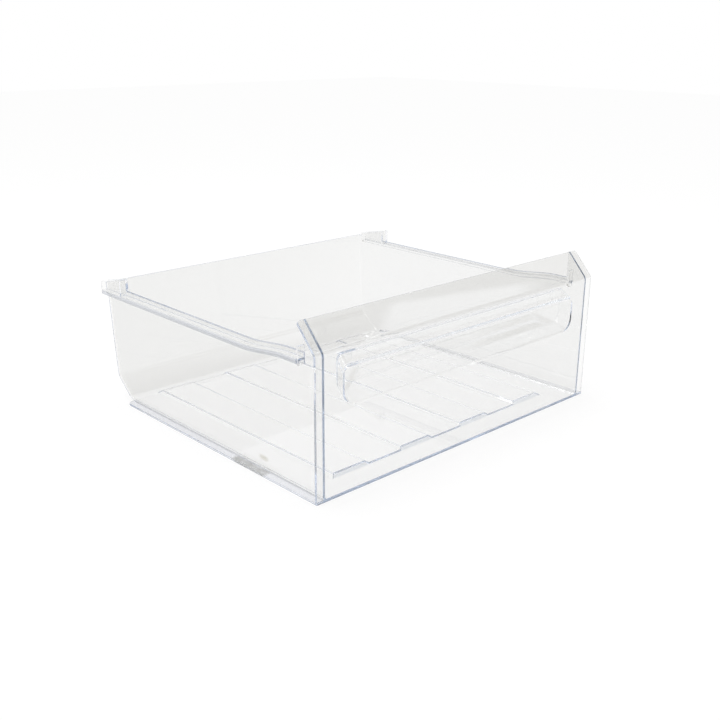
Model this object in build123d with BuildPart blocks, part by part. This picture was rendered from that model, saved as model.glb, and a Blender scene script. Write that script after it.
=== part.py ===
"""Freezer drawer: a clear moulded tub with a clear moulded front panel bonded to its open front.

Millimetres, +Z up, front towards -Y. The origin lies on the ground under the middle of the drawer.
"""

import os
from math import atan2, cos, radians, sin, tan

from build123d import *

# Overall sizes
panel_width = 440.0
panel_height = 180.0
overall_depth = 400.0

# Front panel: an upright plate with a strip that leans back along its top
panel_thickness = 2.8
bend_height = 152.0
bend_radius = 10.0
strip_setback = 25.6
strip_corner_radius = 3.0

# Finger pocket: a mouth in the plate, a room behind the lip and a narrower back
mouth_width = 366.0
mouth_bottom = 93.0
mouth_top = 127.5
mouth_edge_radius = 3.0
room_depth = 15.0
room_end_inset = 4.0
room_floor_rise = 8.0
room_roof_rise = 12.5
pocket_depth = 27.0
back_end_inset = 32.0
back_floor_rise = 22.0
back_roof_rise = 8.5
pocket_corner_radius = 13.0
pocket_top_radius = 4.0
pocket_wall = 2.4
pocket_root_radius = 1.2

# Tub walls, and the thin bond line between the tub's front edges and the panel's back
wall = 2.5
bond_line = 0.02
panel_overhang = 9.0
bevel_run = 29.0
bevel_height = 25.0
rear_draft = 10.0
rear_height = 143.0
rear_radius = 14.0
inner_corner_radius = 3.0

# Top rails, which rise a little towards the front
rail_height = 136.5
rail_thickness = 2.5
rim_rise = 4.5
rail_lip_height = 5.0
rail_lip_width = 2.4
rail_rear_inset = 7.0
rail_rise = 6.0
rise_start = 115.0
rise_end = 45.0

# Side wings behind the strip and the stop tab at each rail's front end
wing_depth = 28.4
tab_height = 19.0
tab_drop = 6.5
tab_inset = 1.0

# Rear stops on the rails
stop_length = 43.0
stop_height = 18.5
stop_tail_height = 10.5
stop_wall = 2.4

# Bottom ledges
ledge_thickness = 2.5
ledge_rear_inset = 8.0
ledge_corner_radius = 7.0

# Floor: a low platform that carries four raised strips
floor_strips = 4
strip_pitch = 97.6
strip_width = 50.0
strip_rise = 2.2
platform_rise = 1.2
platform_front_inset = 28.0
platform_rear_inset = 4.0
step_slope = 55.0

# Worked-out places
tub_half = panel_width / 2 - panel_overhang
lean = atan2(strip_setback, panel_height - bend_height)
tub_front = panel_thickness + bond_line
wing_bend = (tub_front, bend_height - tub_front * tan(lean / 2))
wing_tip = (strip_setback + tub_front * cos(lean), panel_height - tub_front * sin(lean))
floor_length = overall_depth - rear_draft - bevel_run
floor_rear = (floor_length, 0.0)
bevel_top = (floor_length + bevel_run, bevel_height)
rear_top = (overall_depth, rear_height)
rail_rear = overall_depth - rail_rear_inset
rail_front_height = rail_height + rail_rise
stop_front = rail_rear - stop_length
ledge_width = panel_overhang + wall + inner_corner_radius
ledge_length = floor_length - ledge_rear_inset - tub_front
step_run = platform_rise * tan(radians(step_slope))
platform_length = floor_length - platform_rear_inset - tub_front - platform_front_inset
platform_middle = tub_front + platform_front_inset + platform_length / 2 - overall_depth / 2
platform_width = (floor_strips - 1) * strip_pitch + strip_width + 2 * step_run

# Pocket sections: distance behind the front face, inset of each end, rise of the floor and of the roof
pocket_depths = (
    (0.0, 0.0, 0.0, 0.0),
    (room_depth, room_end_inset, room_floor_rise, room_roof_rise),
    (pocket_depth, back_end_inset, back_floor_rise, back_roof_rise),
)

# Side sketches are drawn in (distance behind the front face, height)
side_plane = Plane(origin=(0, -overall_depth / 2, 0), x_dir=(0, 1, 0), z_dir=(1, 0, 0))

# Direction across the strip's thickness
strip_normal = Axis((0, 0, 0), (0, -cos(lean), sin(lean)))


def front_plane(distance):
    """Upright plane facing forwards, at a distance behind the panel's front face."""
    return Plane.XZ.offset(overall_depth / 2 - distance)


def rail_line(lift):
    """Line of a rail from its rear end to the wing, lifted from the top of its flange."""
    rear = rail_height + lift
    front = rail_front_height + lift
    Line((rail_rear, rear), (rise_start, rear))
    Spline((rise_start, rear), (rise_end, front), tangents=((-1, 0), (-1, 0)))
    Line((rise_end, front), (wing_depth, front))


# The tub
with BuildPart() as tub:
    # Floor, bevel and rear wall are one bent sheet
    with BuildSketch(side_plane):
        with BuildLine():
            FilletPolyline((tub_front, 0), floor_rear, bevel_top, rear_top, radius=rear_radius)
            offset(amount=wall, side=Side.LEFT)
        make_face()
    extrude(amount=tub_half)

    # Side wall with its wing, whose front edge follows the back of the panel
    with BuildSketch(side_plane.offset(tub_half)):
        with BuildLine():
            FilletPolyline((tub_front, 0), wing_bend, wing_tip, radius=bend_radius - tub_front)
            Polyline(wing_tip, (wing_depth, wing_tip[1]), (wing_depth, rail_front_height + rim_rise))
            rail_line(rim_rise)
            Polyline((rail_rear, rail_height + rim_rise), (rail_rear, rear_height), rear_top)
            FilletPolyline(rear_top, bevel_top, floor_rear, (tub_front, 0), radius=rear_radius)
        make_face()
    extrude(amount=-wall)

    # Rounded corner along the floor, the bevel and the rear wall, inside and then outside
    inside = tub.edges().filter_by_position(Axis.X, tub_half - wall, tub_half - wall)
    fillet(inside.sort_by_distance((tub_half - wall, 0, wall))[0], radius=inner_corner_radius)
    outside = tub.edges().filter_by_position(Axis.X, tub_half, tub_half)
    fillet(outside.sort_by_distance((tub_half, 0, 0))[0], radius=inner_corner_radius + wall)

    # Rail flange and the lip along its outer edge
    with BuildSketch(side_plane.offset(tub_half)):
        with BuildLine():
            rail_line(0)
            rail_line(-rail_thickness)
            Line((rail_rear, rail_height), (rail_rear, rail_height - rail_thickness))
            Line((wing_depth, rail_front_height), (wing_depth, rail_front_height - rail_thickness))
        make_face()
    extrude(amount=panel_overhang)
    with BuildSketch(side_plane.offset(panel_width / 2)):
        with BuildLine():
            rail_line(0)
            rail_line(-rail_lip_height)
            Line((rail_rear, rail_height), (rail_rear, rail_height - rail_lip_height))
            Line((wing_depth, rail_front_height), (wing_depth, rail_front_height - rail_lip_height))
        make_face()
    extrude(amount=-rail_lip_width)

    # Stop tab across the front end of the rail
    with BuildSketch(front_plane(wing_depth - wall)):
        with Locations((tub_half, rail_front_height - tab_drop)):
            Rectangle(panel_overhang - tab_inset, tab_height, align=(Align.MIN, Align.MIN))
    extrude(amount=-wall)

    # Rear stop: wedge-shaped cheeks on the wall and on the lip, with a face across their front
    for cheek in (tub_half, panel_width / 2):
        with BuildSketch(side_plane.offset(cheek)):
            with BuildLine():
                Polyline(
                    (stop_front, rail_height),
                    (stop_front, rail_height + stop_height),
                    (rail_rear, rail_height + stop_tail_height),
                    (rail_rear, rail_height),
                    close=True,
                )
            make_face()
        extrude(amount=-stop_wall)
    with BuildSketch(front_plane(stop_front)):
        with Locations((tub_half - stop_wall, rail_height)):
            Rectangle(panel_overhang + stop_wall, stop_height, align=(Align.MIN, Align.MIN))
    extrude(amount=-stop_wall)

    # Bottom ledge, level with the floor and rounded off at its rear end
    with BuildSketch(Plane.XY):
        with Locations((panel_width / 2, tub_front - overall_depth / 2)):
            Rectangle(ledge_width, ledge_length, align=(Align.MAX, Align.MIN))
        fillet(vertices().group_by(Axis.X)[-1].sort_by(Axis.Y)[-1], ledge_corner_radius)
    extrude(amount=ledge_thickness)

    mirror(about=Plane.YZ)

    # Low platform and raised strips pressed into the floor, with the underside following them
    for base, mode in ((wall, Mode.ADD), (0.0, Mode.SUBTRACT)):
        with BuildSketch(Plane.XY.offset(base)):
            with Locations((0, platform_middle)):
                Rectangle(platform_width, platform_length)
        extrude(amount=platform_rise, taper=step_slope, mode=mode)
        with BuildSketch(Plane.XY.offset(base + platform_rise)):
            with Locations((0, platform_middle)):
                with GridLocations(strip_pitch, 0, floor_strips, 1):
                    Rectangle(strip_width, platform_length - 2 * step_run)
        extrude(amount=strip_rise, taper=step_slope, mode=mode)

tub.part.label = "drawer_tub"

# The room inside the finger pocket, lofted straight through three depths
with BuildPart() as pocket_room:
    for distance, end_inset, floor_rise, roof_rise in pocket_depths:
        low = mouth_bottom + floor_rise
        high = mouth_top + roof_rise
        with BuildSketch(front_plane(distance)):
            with Locations((0, (low + high) / 2)):
                Rectangle(mouth_width - 2 * end_inset, high - low)
            fillet(vertices().group_by(Axis.Y)[0], pocket_corner_radius)
            fillet(vertices().group_by(Axis.Y)[-1], pocket_top_radius)
    loft(ruled=True)

# The front panel
with BuildPart() as panel:
    with BuildSketch(side_plane):
        with BuildLine():
            FilletPolyline((0, 0), (0, bend_height), (strip_setback, panel_height), radius=bend_radius)
            offset(amount=panel_thickness, side=Side.RIGHT)
        make_face()
    extrude(amount=panel_width / 2, both=True)
    strip_corners = panel.edges().filter_by(strip_normal).sort_by(Axis.Z)[-2:]
    fillet(strip_corners, radius=strip_corner_radius)

    # Finger pocket: an even shell around its room, from the middle of the plate backwards
    shell = offset(pocket_room.part, amount=pocket_wall, mode=Mode.PRIVATE)
    add(split(shell, bisect_by=front_plane(panel_thickness / 2), keep=Keep.BOTTOM, mode=Mode.PRIVATE))
    add(pocket_room.part, mode=Mode.SUBTRACT)

    # Rounded mouth on the plate's front and rounded root on its back
    plate_front = panel.faces().filter_by(Axis.Y).group_by(Axis.Y)[0][0]
    fillet(plate_front.inner_wires()[0].edges(), radius=mouth_edge_radius)
    plate_back = panel.faces().filter_by(Axis.Y).group_by(Axis.Y)[1][0]
    fillet(plate_back.inner_wires()[0].edges(), radius=pocket_root_radius)

panel.part.label = "front_panel"

os.makedirs("parts", exist_ok=True)
export_step(tub.part, "parts/drawer_tub.step")
export_step(panel.part, "parts/front_panel.step")
print(tub.part.bounding_box(), panel.part.bounding_box())
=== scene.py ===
# %% [markdown]
# # A clear freezer drawer
# The drawer is two mouldings in clear polystyrene: a tub with rails along its sides, and a front panel
# that is bonded to the tub's open front. Both come in as finished shapes, so this lesson is about the
# other half of the likeness: what makes clear plastic readable in a picture. A clear thing has no colour
# of its own. It is drawn by its edges, by the room it mirrors and by the marks that use leaves on it.

# %% Load the two mouldings
import math

import bpy
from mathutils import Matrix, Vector

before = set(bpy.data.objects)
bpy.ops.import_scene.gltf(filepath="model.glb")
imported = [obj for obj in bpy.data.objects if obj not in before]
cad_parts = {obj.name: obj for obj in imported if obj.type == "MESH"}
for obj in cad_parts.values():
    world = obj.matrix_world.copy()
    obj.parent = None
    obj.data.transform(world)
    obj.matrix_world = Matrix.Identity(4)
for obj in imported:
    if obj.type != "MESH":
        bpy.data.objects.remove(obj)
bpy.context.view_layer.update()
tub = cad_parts["drawer_tub"]
front_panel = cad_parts["front_panel"]
scene = bpy.context.scene
scene.view_settings.view_transform = "Standard"

# %% [markdown]
# ## The camera
# The photographer stood to the drawer's left and a little above it. The camera could be set by eye, but
# straight edges that meet at right angles say exactly where it stood, so its place, turn and lens were
# worked out from the drawer's own edges.

# %% Camera
CAMERA_PLACE = (-0.7450, -0.8148, 0.4325)
CAMERA_TURN = (70.658, -0.332, -43.252)
CAMERA_LENS_MM = 47.07

camera_data = bpy.data.cameras.new("camera")
camera_data.lens = CAMERA_LENS_MM
camera_data.sensor_width = 36.0
camera = bpy.data.objects.new("camera", camera_data)
camera.location = CAMERA_PLACE
camera.rotation_euler = [math.radians(angle) for angle in CAMERA_TURN]
scene.collection.objects.link(camera)
scene.camera = camera
print("camera at", CAMERA_PLACE, "lens", CAMERA_LENS_MM, "mm")

# %% [markdown]
# ## Light inside a sheet
# The edge of a clear sheet shows light that entered far away and ran along inside it, thrown to and fro
# between the two faces. On its way down a 390 mm wall, 2.5 mm thick, a ray is thrown back a hundred times
# and more. A renderer that stops counting after a dozen paints such an edge black. Edges could be painted
# pale instead, but then they would look pale from every side, so the count is raised.

# %% Bounces
SHEET_BOUNCES = 256
scene.cycles.max_bounces = SHEET_BOUNCES
scene.cycles.transmission_bounces = SHEET_BOUNCES
scene.cycles.glossy_bounces = SHEET_BOUNCES
print("light may turn", SHEET_BOUNCES, "times")

# %% [markdown]
# ## Small tools
# Colours are written as the hex values a painter would pick off a screen, and shaders want them linear,
# so one function turns the one into the other. A second one adds a node, sets its values and draws its
# links, which keeps a material readable from top to bottom.


# %% Colour and node tools
def linear(hex_colour, alpha=1.0):
    """Turns an sRGB hex colour such as "8FA3B5" into the linear values that shaders use."""
    channels = [int(hex_colour[i : i + 2], 16) / 255 for i in (0, 2, 4)]
    return [c / 12.92 if c <= 0.04045 else ((c + 0.055) / 1.055) ** 2.4 for c in channels] + [alpha]


def add_node(tree, kind, inputs=(), **settings):
    """Adds a node, applies its settings, and sets or links each (input, value or socket) pair."""
    node = tree.nodes.new(kind)
    for name, value in settings.items():
        setattr(node, name, value)
    for name, value in dict(inputs).items():
        if isinstance(value, bpy.types.NodeSocket):
            tree.links.new(value, node.inputs[name])
        else:
            node.inputs[name].default_value = value
    return node


# %% [markdown]
# ## Places on the drawer
# Neither wear nor painted shade is spread evenly: rails rub, and painted shade lies in the corners and along
# one stretch of a ledge. Painting by hand would need unwrapped maps. The drawer is square to the axes, so
# plain coordinates in millimetres already say which surface is which, and a place is the product of a few
# bands.


# %% Masks from coordinates
def between(tree, value, low, high, soft):
    """Masks the band where a value lies between low and high, with flanks as wide as soft."""
    rise = add_node(
        tree,
        "ShaderNodeMapRange",
        {"Value": value, "From Min": low - soft, "From Max": low},
        interpolation_type="SMOOTHSTEP",
    )
    fall = add_node(
        tree,
        "ShaderNodeMapRange",
        {"Value": value, "From Min": high, "From Max": high + soft, "To Min": 1.0, "To Max": 0.0},
        interpolation_type="SMOOTHSTEP",
    )
    return all_of(tree, rise.outputs["Result"], fall.outputs["Result"])


def all_of(tree, first, *others):
    """Multiplies masks, so that a place counts only where all of them hold."""
    for other in others:
        first = add_node(tree, "ShaderNodeMath", {0: first, 1: other}, operation="MULTIPLY").outputs[0]
    return first


def coordinates(tree):
    """Gives the distance from the middle plane, and x, y and z, in millimetres."""
    place = add_node(tree, "ShaderNodeTexCoord")
    millimetres = add_node(
        tree,
        "ShaderNodeVectorMath",
        {0: place.outputs["Object"], 1: (1000, 1000, 1000)},
        operation="MULTIPLY",
    )
    axes = add_node(tree, "ShaderNodeSeparateXYZ", {"Vector": millimetres.outputs["Vector"]})
    aside = add_node(tree, "ShaderNodeMath", {0: axes.outputs["X"]}, operation="ABSOLUTE")
    return [aside.outputs[0]] + [axes.outputs[axis] for axis in "XYZ"]


# %% [markdown]
# ## Clear polystyrene
# Crystal polystyrene bends light more than window glass does, with an index of about 1.59, and a polished
# mould leaves it glossy, with the faint waves of its flow. A touch of blue toner in the granules can't be
# seen through one wall, but light that runs along inside a sheet comes out of its edge blue. A tinted
# surface would colour the whole wall, so the toner goes into the volume, where the length of the path
# decides how much shows.
#
# The little that a sheet's faces take is written on the surface, and only for light that comes in from
# outside. If it counted again at each turn inside, the edges would go black. Marks come on top, in order:
# marks of wear, and painted shade and painted light laid on some places and edges. Each has a place, a
# colour that it leaves of the light, and a dullness.

# %% The plastic and its marks
POLYSTYRENE_IOR = 1.59
POLISHED = 0.02
WHITE = "FFFFFF"
SHEET_HEX = "F3F3F2"
TONER_HEX = "9FBFE8"
TONER_DENSITY = 0.9
FLOW_WAVE_MM = 60
FLOW_WAVE_HEIGHT_MM = 0.004
EDGE_REACH_MM = 1.2
# The edge colour is painted shade: a blue-grey line along every sharp edge.
EDGE_SHADE_HEX = "C6CAD2"
EDGE_ROUGHNESS = 0.08
EDGE_STARTS, EDGE_FULL = 0.98, 0.75


def painted_edge_shade(tree):
    """Masks a narrow line along sharp edges, by how far a rounded normal turns from the face's own; the line
    gets painted shade.
    """
    face = add_node(tree, "ShaderNodeNewGeometry")
    rounded = add_node(tree, "ShaderNodeBevel", {"Radius": EDGE_REACH_MM / 1000}, samples=4)
    alike = add_node(
        tree,
        "ShaderNodeVectorMath",
        {0: rounded.outputs["Normal"], 1: face.outputs["Normal"]},
        operation="DOT_PRODUCT",
    )
    edge = add_node(
        tree,
        "ShaderNodeMapRange",
        {"Value": alike.outputs["Value"], "From Min": EDGE_STARTS, "From Max": EDGE_FULL},
    )
    return edge.outputs["Result"]


def clear_polystyrene(name, marks):
    """Makes moulded clear polystyrene. marks(tree) gives (mask, hex colour, roughness) in order."""
    material = bpy.data.materials.new(name)
    material.use_nodes = True
    tree = material.node_tree
    tree.nodes.clear()
    place = add_node(tree, "ShaderNodeTexCoord")
    flow = add_node(
        tree,
        "ShaderNodeTexNoise",
        {"Vector": place.outputs["Object"], "Scale": 1000 / FLOW_WAVE_MM, "Detail": 2.0},
    )
    waves = add_node(
        tree,
        "ShaderNodeBump",
        {"Height": flow.outputs["Fac"], "Strength": 1.0, "Distance": FLOW_WAVE_HEIGHT_MM / 1000},
    )
    tint, roughness = linear(SHEET_HEX), POLISHED
    for mask, hex_colour, dullness in marks(tree):
        tint = add_node(
            tree, "ShaderNodeMix", {0: mask, 6: tint, 7: linear(hex_colour)}, data_type="RGBA"
        ).outputs[2]
        roughness = add_node(tree, "ShaderNodeMix", {0: mask, 2: roughness, 3: dullness}).outputs[0]
    face = add_node(tree, "ShaderNodeNewGeometry")
    entering = add_node(
        tree, "ShaderNodeMix", {0: face.outputs["Backfacing"], 6: tint, 7: linear(WHITE)}, data_type="RGBA"
    )
    surface = add_node(
        tree,
        "ShaderNodeBsdfPrincipled",
        {
            "Base Color": entering.outputs[2],
            "Roughness": roughness,
            "IOR": POLYSTYRENE_IOR,
            "Transmission Weight": 1.0,
            "Normal": waves.outputs["Normal"],
        },
    )
    depth = add_node(
        tree, "ShaderNodeVolumeAbsorption", {"Color": linear(TONER_HEX), "Density": TONER_DENSITY}
    )
    add_node(
        tree,
        "ShaderNodeOutputMaterial",
        {"Surface": surface.outputs["BSDF"], "Volume": depth.outputs["Volume"]},
    )
    print("plastic", name, "with", len(tree.nodes), "nodes")
    return material


# %% [markdown]
# ## Marks on the tub
# The rails slide on the freezer's guides, so their lips and the tops of the rims over them are rubbed dull,
# and painted shade makes them grey-blue.
# Painted shade lies faintly on the rear and right walls, stronger on the left of the rear wall, the ledges
# are a little greyer than the walls, and the floor is given painted light. The bond dulls the front edges,
# and painted blue-grey shade on them shows as a line through the panel.
# Painted shade darkens the corner above each ledge and one patchy stretch of the left ledge, and a small
# warm grey patch lies on the wall above that stretch.

# %% Tub material
RAIL_REAR_TOP, RAIL_FRONT_TOP = 136.5, 142.5
RAIL_RISE_FROM, RAIL_RISE_TO = -85.0, -155.0
BLOTCH_MM = 9
BLOTCH_BAND = (0.52, 2.0, 0.36)

# Bands in millimetres: where each starts, where it ends and how wide its flanks are
LIP_OVER_RAIL, LIP_ASIDE = (-5.0, -0.3, 0.2), (217.4, 230, 0.2)
RIM_OVER_RAIL, RIM_ASIDE, RIM_ALONG = (3.9, 4.8, 0.4), (208, 211.2, 0.2), (-171, 150, 0.5)
BOND_SHADE_ALONG, BOND_SHADE_ASIDE = (-200, -166, 0.2), (-1, 211.1, 0.1)
FACING_FRONT = (-1.1, -0.6, 0.05)
LEDGE_CORNER = (211.0, 2.5, 0.0)
CORNER_SHADE_REACH, CORNER_SHADE_ALONG = (-1, 0.7, 0.7), (-196, 158, 1)
REAR_SHADE_ALONG, REAR_SHADE_ASIDE = (166, 230, 12), (-1, 205, 2)
REAR_SHADE_RIGHT_SHARE = 0.45
RIGHT_SHADE_ACROSS = (207, 212, 1)
LEDGE_ASIDE, LEDGE_UP = (211.8, 221, 0.6), (-1, 3, 0.2)
LEDGE_SHADE_ACROSS, LEDGE_SHADE_ALONG, LEDGE_SHADE_UP = (-221, -210, 1), (-113, -65, 8), (-1, 3, 0.3)
WARM_PATCH_ACROSS, WARM_PATCH_ALONG, WARM_PATCH_UP = (-212, -210, 0.3), (-108, -104, 9), (15, 16, 4)
FLOOR_UP, FLOOR_ASIDE = (-1, 8, 1), (-1, 203, 2)


def tub_marks(tree):
    """Gives the marks of making and of use on the tub, and the painted shade and painted light on it."""
    aside, x, y, z = coordinates(tree)
    place = add_node(tree, "ShaderNodeTexCoord")
    rail_top = add_node(
        tree,
        "ShaderNodeMapRange",
        {
            "Value": y,
            "From Min": RAIL_RISE_TO,
            "From Max": RAIL_RISE_FROM,
            "To Min": RAIL_FRONT_TOP,
            "To Max": RAIL_REAR_TOP,
        },
        interpolation_type="SMOOTHSTEP",
    )
    over_rail = add_node(
        tree, "ShaderNodeMath", {0: z, 1: rail_top.outputs["Result"]}, operation="SUBTRACT"
    ).outputs[0]
    # The lip and rim-top bands are rubbed dull, and their grey-blue is painted shade.
    lip_wear_and_shade = all_of(tree, between(tree, over_rail, *LIP_OVER_RAIL), between(tree, aside, *LIP_ASIDE))
    rim_wear_and_shade = all_of(
        tree,
        between(tree, over_rail, *RIM_OVER_RAIL),
        between(tree, aside, *RIM_ASIDE),
        between(tree, y, *RIM_ALONG),
    )
    face = add_node(tree, "ShaderNodeNewGeometry")
    facing = add_node(tree, "ShaderNodeSeparateXYZ", {"Vector": face.outputs["True Normal"]})
    # The bond dulls the front edges; their blue-grey colour is painted shade.
    bond_and_edge_shade = all_of(
        tree,
        between(tree, facing.outputs["Y"], *FACING_FRONT),
        between(tree, y, *BOND_SHADE_ALONG),
        between(tree, aside, *BOND_SHADE_ASIDE),
    )
    corner = add_node(tree, "ShaderNodeCombineXYZ", {"X": aside, "Y": z})
    from_corner = add_node(
        tree,
        "ShaderNodeVectorMath",
        {0: corner.outputs["Vector"], 1: LEDGE_CORNER},
        operation="DISTANCE",
    )
    # Painted shade in the corner above each ledge.
    corner_painted_shade = all_of(
        tree, between(tree, from_corner.outputs["Value"], *CORNER_SHADE_REACH), between(tree, y, *CORNER_SHADE_ALONG)
    )
    # Painted shade on the rear wall, stronger to the left.
    to_left = add_node(
        tree,
        "ShaderNodeMapRange",
        {"Value": x, "From Min": 210.0, "From Max": -210.0, "To Min": REAR_SHADE_RIGHT_SHARE},
    )
    rear_wall_painted_shade = all_of(
        tree,
        between(tree, y, *REAR_SHADE_ALONG),
        between(tree, aside, *REAR_SHADE_ASIDE),
        to_left.outputs["Result"],
    )
    ledge = all_of(tree, between(tree, aside, *LEDGE_ASIDE), between(tree, z, *LEDGE_UP))
    # Noise that makes the painted shade on the ledge, and the patch above it, uneven.
    blotch_noise = add_node(
        tree,
        "ShaderNodeTexNoise",
        {"Vector": place.outputs["Object"], "Scale": 1000 / BLOTCH_MM, "Detail": 4.0},
    )
    patchy = between(tree, blotch_noise.outputs["Fac"], *BLOTCH_BAND)
    # Painted shade along one patchy stretch of the left ledge.
    ledge_painted_shade = all_of(
        tree,
        between(tree, x, *LEDGE_SHADE_ACROSS),
        between(tree, y, *LEDGE_SHADE_ALONG),
        between(tree, z, *LEDGE_SHADE_UP),
        patchy,
    )
    # A small warm grey patch on the left wall above that stretch.
    warm_patch = all_of(
        tree,
        between(tree, x, *WARM_PATCH_ACROSS),
        between(tree, y, *WARM_PATCH_ALONG),
        between(tree, z, *WARM_PATCH_UP),
        patchy,
    )
    # Painted light: the tub's floor gets a lighter tint than the walls.
    floor_painted_light = all_of(tree, between(tree, z, *FLOOR_UP), between(tree, aside, *FLOOR_ASIDE))
    # Painted shade on the right wall.
    right_wall_painted_shade = between(tree, x, *RIGHT_SHADE_ACROSS)
    return (
        (floor_painted_light, "FBFBFB", POLISHED),
        (rear_wall_painted_shade, "DDDDDB", 0.03),
        (right_wall_painted_shade, "E8E8E7", 0.03),
        (ledge, "DFE1E9", 0.04),
        (painted_edge_shade(tree), EDGE_SHADE_HEX, EDGE_ROUGHNESS),
        (lip_wear_and_shade, "B6BAC3", 0.10),
        (rim_wear_and_shade, "B2B7C3", 0.08),
        (ledge_painted_shade, "B2B2B0", 0.30),
        (warm_patch, "C6C3B4", 0.20),
        (corner_painted_shade, "B4B7BD", 0.25),
        (bond_and_edge_shade, "93A2B9", 0.05),
    )


tub.material_slots[0].material = clear_polystyrene("clear_polystyrene_tub", tub_marks)

# %% [markdown]
# ## Marks on the front panel
# The panel has crisp edges, lined with painted blue-grey shade, and is cleaner than the tub. The roof of its
# finger pocket is painted lighter than the plate: painted light, with the sheet's tint left off there.


# %% Panel material
POCKET_LIGHT_ALONG, POCKET_LIGHT_UP = (-196.5, -165, 0.3), (126, 147, 2)


def panel_marks(tree):
    """Gives the painted edge shade, and the painted light on the pocket roof, of the front panel."""
    y, z = coordinates(tree)[2:]
    # Painted light: the pocket roof keeps the sheet's colour white.
    pocket_roof_painted_light = all_of(tree, between(tree, y, *POCKET_LIGHT_ALONG), between(tree, z, *POCKET_LIGHT_UP))
    return ((pocket_roof_painted_light, WHITE, POLISHED), (painted_edge_shade(tree), EDGE_SHADE_HEX, EDGE_ROUGHNESS))


front_panel.material_slots[0].material = clear_polystyrene("clear_polystyrene_panel", panel_marks)

# %% [markdown]
# ## The white floor
# The drawer stands on a flat white floor before a white background. A floor bright enough to be white
# by lamps alone would put too much light on the drawer. The floor glows towards the camera instead, and
# towards rays that pass or mirror off clear plastic, and a small share of it stays lit so that the
# drawer's soft shadow is kept.

# %% Floor
FLOOR_GLOW = 0.88
FLOOR_SIZE, FLOOR_DROP = 12.0, 0.0002
PAPER_HEX = "F6F6F6"

bpy.ops.mesh.primitive_plane_add(size=FLOOR_SIZE, location=(0, 0, -FLOOR_DROP))
floor = bpy.context.active_object
floor.name = "floor"
paper = bpy.data.materials.new("white_paper")
paper.use_nodes = True
tree = paper.node_tree
tree.nodes.clear()
path = add_node(tree, "ShaderNodeLightPath")
seen = add_node(
    tree,
    "ShaderNodeMath",
    {0: path.outputs["Is Camera Ray"], 1: path.outputs["Is Glossy Ray"]},
    operation="ADD",
)
seen_through = add_node(
    tree,
    "ShaderNodeMath",
    {0: seen.outputs[0], 1: path.outputs["Is Transmission Ray"]},
    operation="ADD",
    use_clamp=True,
)
share = add_node(tree, "ShaderNodeMath", {0: seen_through.outputs[0], 1: FLOOR_GLOW}, operation="MULTIPLY")
lit = add_node(tree, "ShaderNodeBsdfDiffuse", {"Color": linear(PAPER_HEX)})
white = add_node(tree, "ShaderNodeEmission", {"Color": linear(WHITE), "Strength": 1.0})
both = add_node(
    tree,
    "ShaderNodeMixShader",
    {0: share.outputs[0], 1: lit.outputs[0], 2: white.outputs[0]},
)
add_node(tree, "ShaderNodeOutputMaterial", {"Surface": both.outputs[0]})
floor.data.materials.append(paper)

# %% [markdown]
# ## Light
# Clear plastic shows the room more than it shows itself. An even white room would leave nothing to see, so
# one part of this one is dim and warm: the part high on the right that the leaning strip and the rear bevel
# mirror. A soft bright patch in it shows along the strip's middle. A lamp with hard edges could make the
# patch, but its edges would show as well. A softbox overhead lights the floor and draws the bright lines
# along bends.

# %% Room
DIM_DIRECTION = (0.70, -0.30, 0.65)
DIM_HEX = "8A8576"
DIM_CONE = (0.90, 1.1, 0.20)
DIM_SIDE = (-1.0, -0.22, 0.03)
PATCH_SLOPE = (0.0, 1.0, 0.349)
PATCH_UNDER = (-1.0, -0.111, 0.008)
PATCH_LEFT, PATCH_RIGHT = (0.50, 0.643, 0.012), (0.56, 1.0, 0.03)

world = bpy.data.worlds.new("studio")
scene.world = world
world.use_nodes = True
tree = world.node_tree
tree.nodes.clear()
path = add_node(tree, "ShaderNodeLightPath")
place = add_node(tree, "ShaderNodeTexCoord")
direction = place.outputs["Generated"]
axes = add_node(tree, "ShaderNodeSeparateXYZ", {"Vector": direction})
off_axis = add_node(
    tree, "ShaderNodeVectorMath", {0: direction, 1: DIM_DIRECTION}, operation="DOT_PRODUCT"
)
dim_aside = between(tree, axes.outputs["Y"], *DIM_SIDE)
dim = all_of(tree, between(tree, off_axis.outputs["Value"], *DIM_CONE), dim_aside)
slope = add_node(tree, "ShaderNodeVectorMath", {0: direction, 1: PATCH_SLOPE}, operation="DOT_PRODUCT")
patch = all_of(
    tree,
    between(tree, axes.outputs["Z"], *PATCH_LEFT),
    between(tree, axes.outputs["Z"], *PATCH_RIGHT),
    between(tree, slope.outputs["Value"], *PATCH_UNDER),
)
room = add_node(
    tree, "ShaderNodeMix", {0: dim, 6: linear(WHITE), 7: linear(DIM_HEX)}, data_type="RGBA"
)
room = add_node(tree, "ShaderNodeMix", {0: patch, 6: room.outputs[2], 7: linear(WHITE)}, data_type="RGBA")
room_light = add_node(tree, "ShaderNodeBackground", {"Color": room.outputs[2], "Strength": 1.0})
white = add_node(tree, "ShaderNodeBackground", {"Color": linear(WHITE), "Strength": 1.0})
both = add_node(
    tree,
    "ShaderNodeMixShader",
    {0: path.outputs["Is Camera Ray"], 1: room_light.outputs[0], 2: white.outputs[0]},
)
add_node(tree, "ShaderNodeOutputWorld", {"Surface": both.outputs[0]})

# %% Softbox
SOFTBOX_PLACE = Vector((-0.2, 0.3, 1.9))
SOFTBOX_WIDTH, SOFTBOX_DEPTH = 1.6, 1.2
SOFTBOX_BRIGHTNESS = 3.4

lamp_data = bpy.data.lights.new("softbox_overhead", "AREA")
lamp_data.shape = "RECTANGLE"
lamp_data.size = SOFTBOX_WIDTH
lamp_data.size_y = SOFTBOX_DEPTH
lamp_data.energy = SOFTBOX_BRIGHTNESS * math.pi * SOFTBOX_WIDTH * SOFTBOX_DEPTH
lamp = bpy.data.objects.new("softbox_overhead", lamp_data)
lamp.location = SOFTBOX_PLACE
lamp.rotation_euler = SOFTBOX_PLACE.to_track_quat("Z", "Y").to_euler()
scene.collection.objects.link(lamp)
print("softbox", round(lamp_data.energy, 2), "W")
